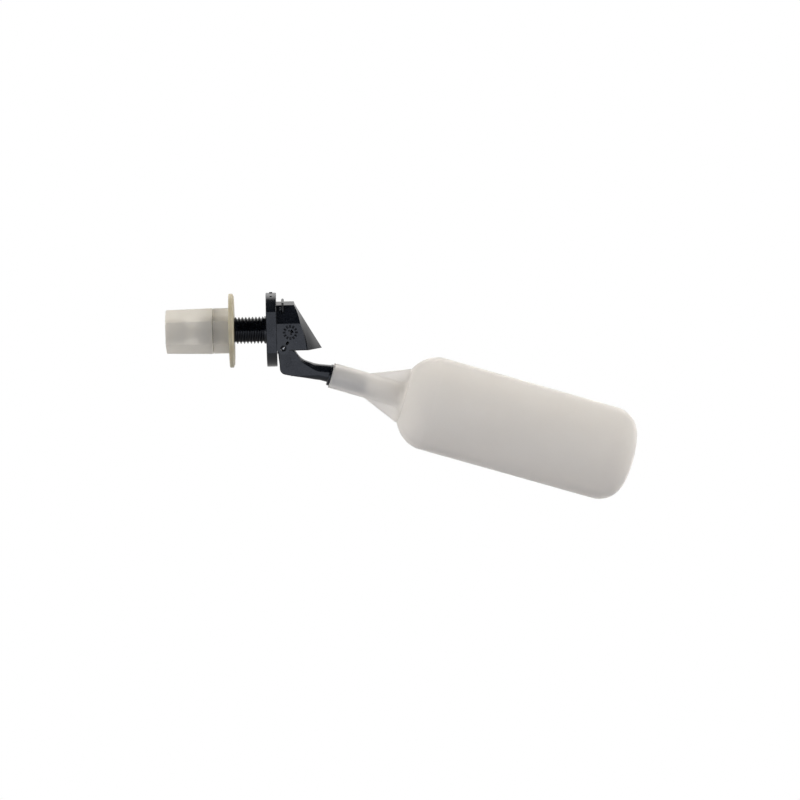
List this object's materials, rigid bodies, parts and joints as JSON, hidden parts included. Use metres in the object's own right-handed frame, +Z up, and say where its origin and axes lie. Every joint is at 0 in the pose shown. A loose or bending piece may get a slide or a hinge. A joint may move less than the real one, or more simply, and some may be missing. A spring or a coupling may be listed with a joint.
{
  "type": "float valve",
  "caption": "Small tank float valve: threaded stem with flange, locknut and tube connector, splash hood, plunger seal, and a lever arm with a cylindrical float.",
  "frame": {"origin": "on the stem's axis, in the plane of the flange face that clamps against the inside of the tank wall", "axes": "+X along the stem into the tank, towards the float; +Z up; +Y across, along the pivot pin"},
  "size_m": [0.2088, 0.0422, 0.0962],
  "materials": {
    "black_plastic": "satin injection moulding",
    "hood_plastic": "satin injection moulding",
    "natural_plastic": "milky, slightly translucent moulding",
    "washer_plastic": "cream, matt",
    "float_plastic": "blow moulded, milky, soft sheen",
    "acetal": "white, smooth",
    "stainless": "drawn wire",
    "rubber": "matt"
  },
  "bodies": {
    "valve": {"valve_body": "black_plastic", "nozzle_seat": "acetal", "nozzle_o_ring": "rubber", "inlet_screen": "stainless", "stem_gasket": "rubber", "splash_hood": "hood_plastic", "hood_wire": "stainless", "pivot_pin": "stainless", "pivot_spacer_front": "black_plastic", "pivot_spacer_back": "black_plastic", "tube_connector": "natural_plastic", "tube_o_ring": "rubber", "spacer_ring": "acetal", "grab_ring": "stainless", "grab_retainer": "acetal"},
    "float_arm": {"lever_arm": "black_plastic", "float_body": "float_plastic"},
    "plunger": {"plunger": "acetal", "seal_disc": "rubber"},
    "wall_washer": {"wall_washer": "washer_plastic"},
    "locknut": {"locknut": "natural_plastic"}
  },
  "joints": [
    {"name": "arm_pivot", "type": "hinge", "parent": "valve", "child": "float_arm", "pos_m": [0.00735, 0, -0.00735], "axis": [0, -1, 0], "range_deg": [0, 20]},
    {"name": "plunger_slide", "type": "slide", "parent": "valve", "child": "plunger", "axis": [1, 0, 0], "range_m": [-0.0026, 0]},
    {"name": "washer_slide", "type": "slide", "parent": "valve", "child": "wall_washer", "axis": [1, 0, 0], "range_m": [0, 0.0135]},
    {"name": "locknut_turn", "type": "hinge", "parent": "wall_washer", "child": "locknut", "pos_m": [-0.02, 0, 0], "axis": [1, 0, 0], "range_deg": [0, 3241]}
  ],
  "couplings": [
    {"joint": "plunger_slide", "follows": "arm_pivot", "m_per_rad": -0.0074256},
    {"joint": "locknut_turn", "follows": "washer_slide", "rad_per_m": 4188.8}
  ]
}
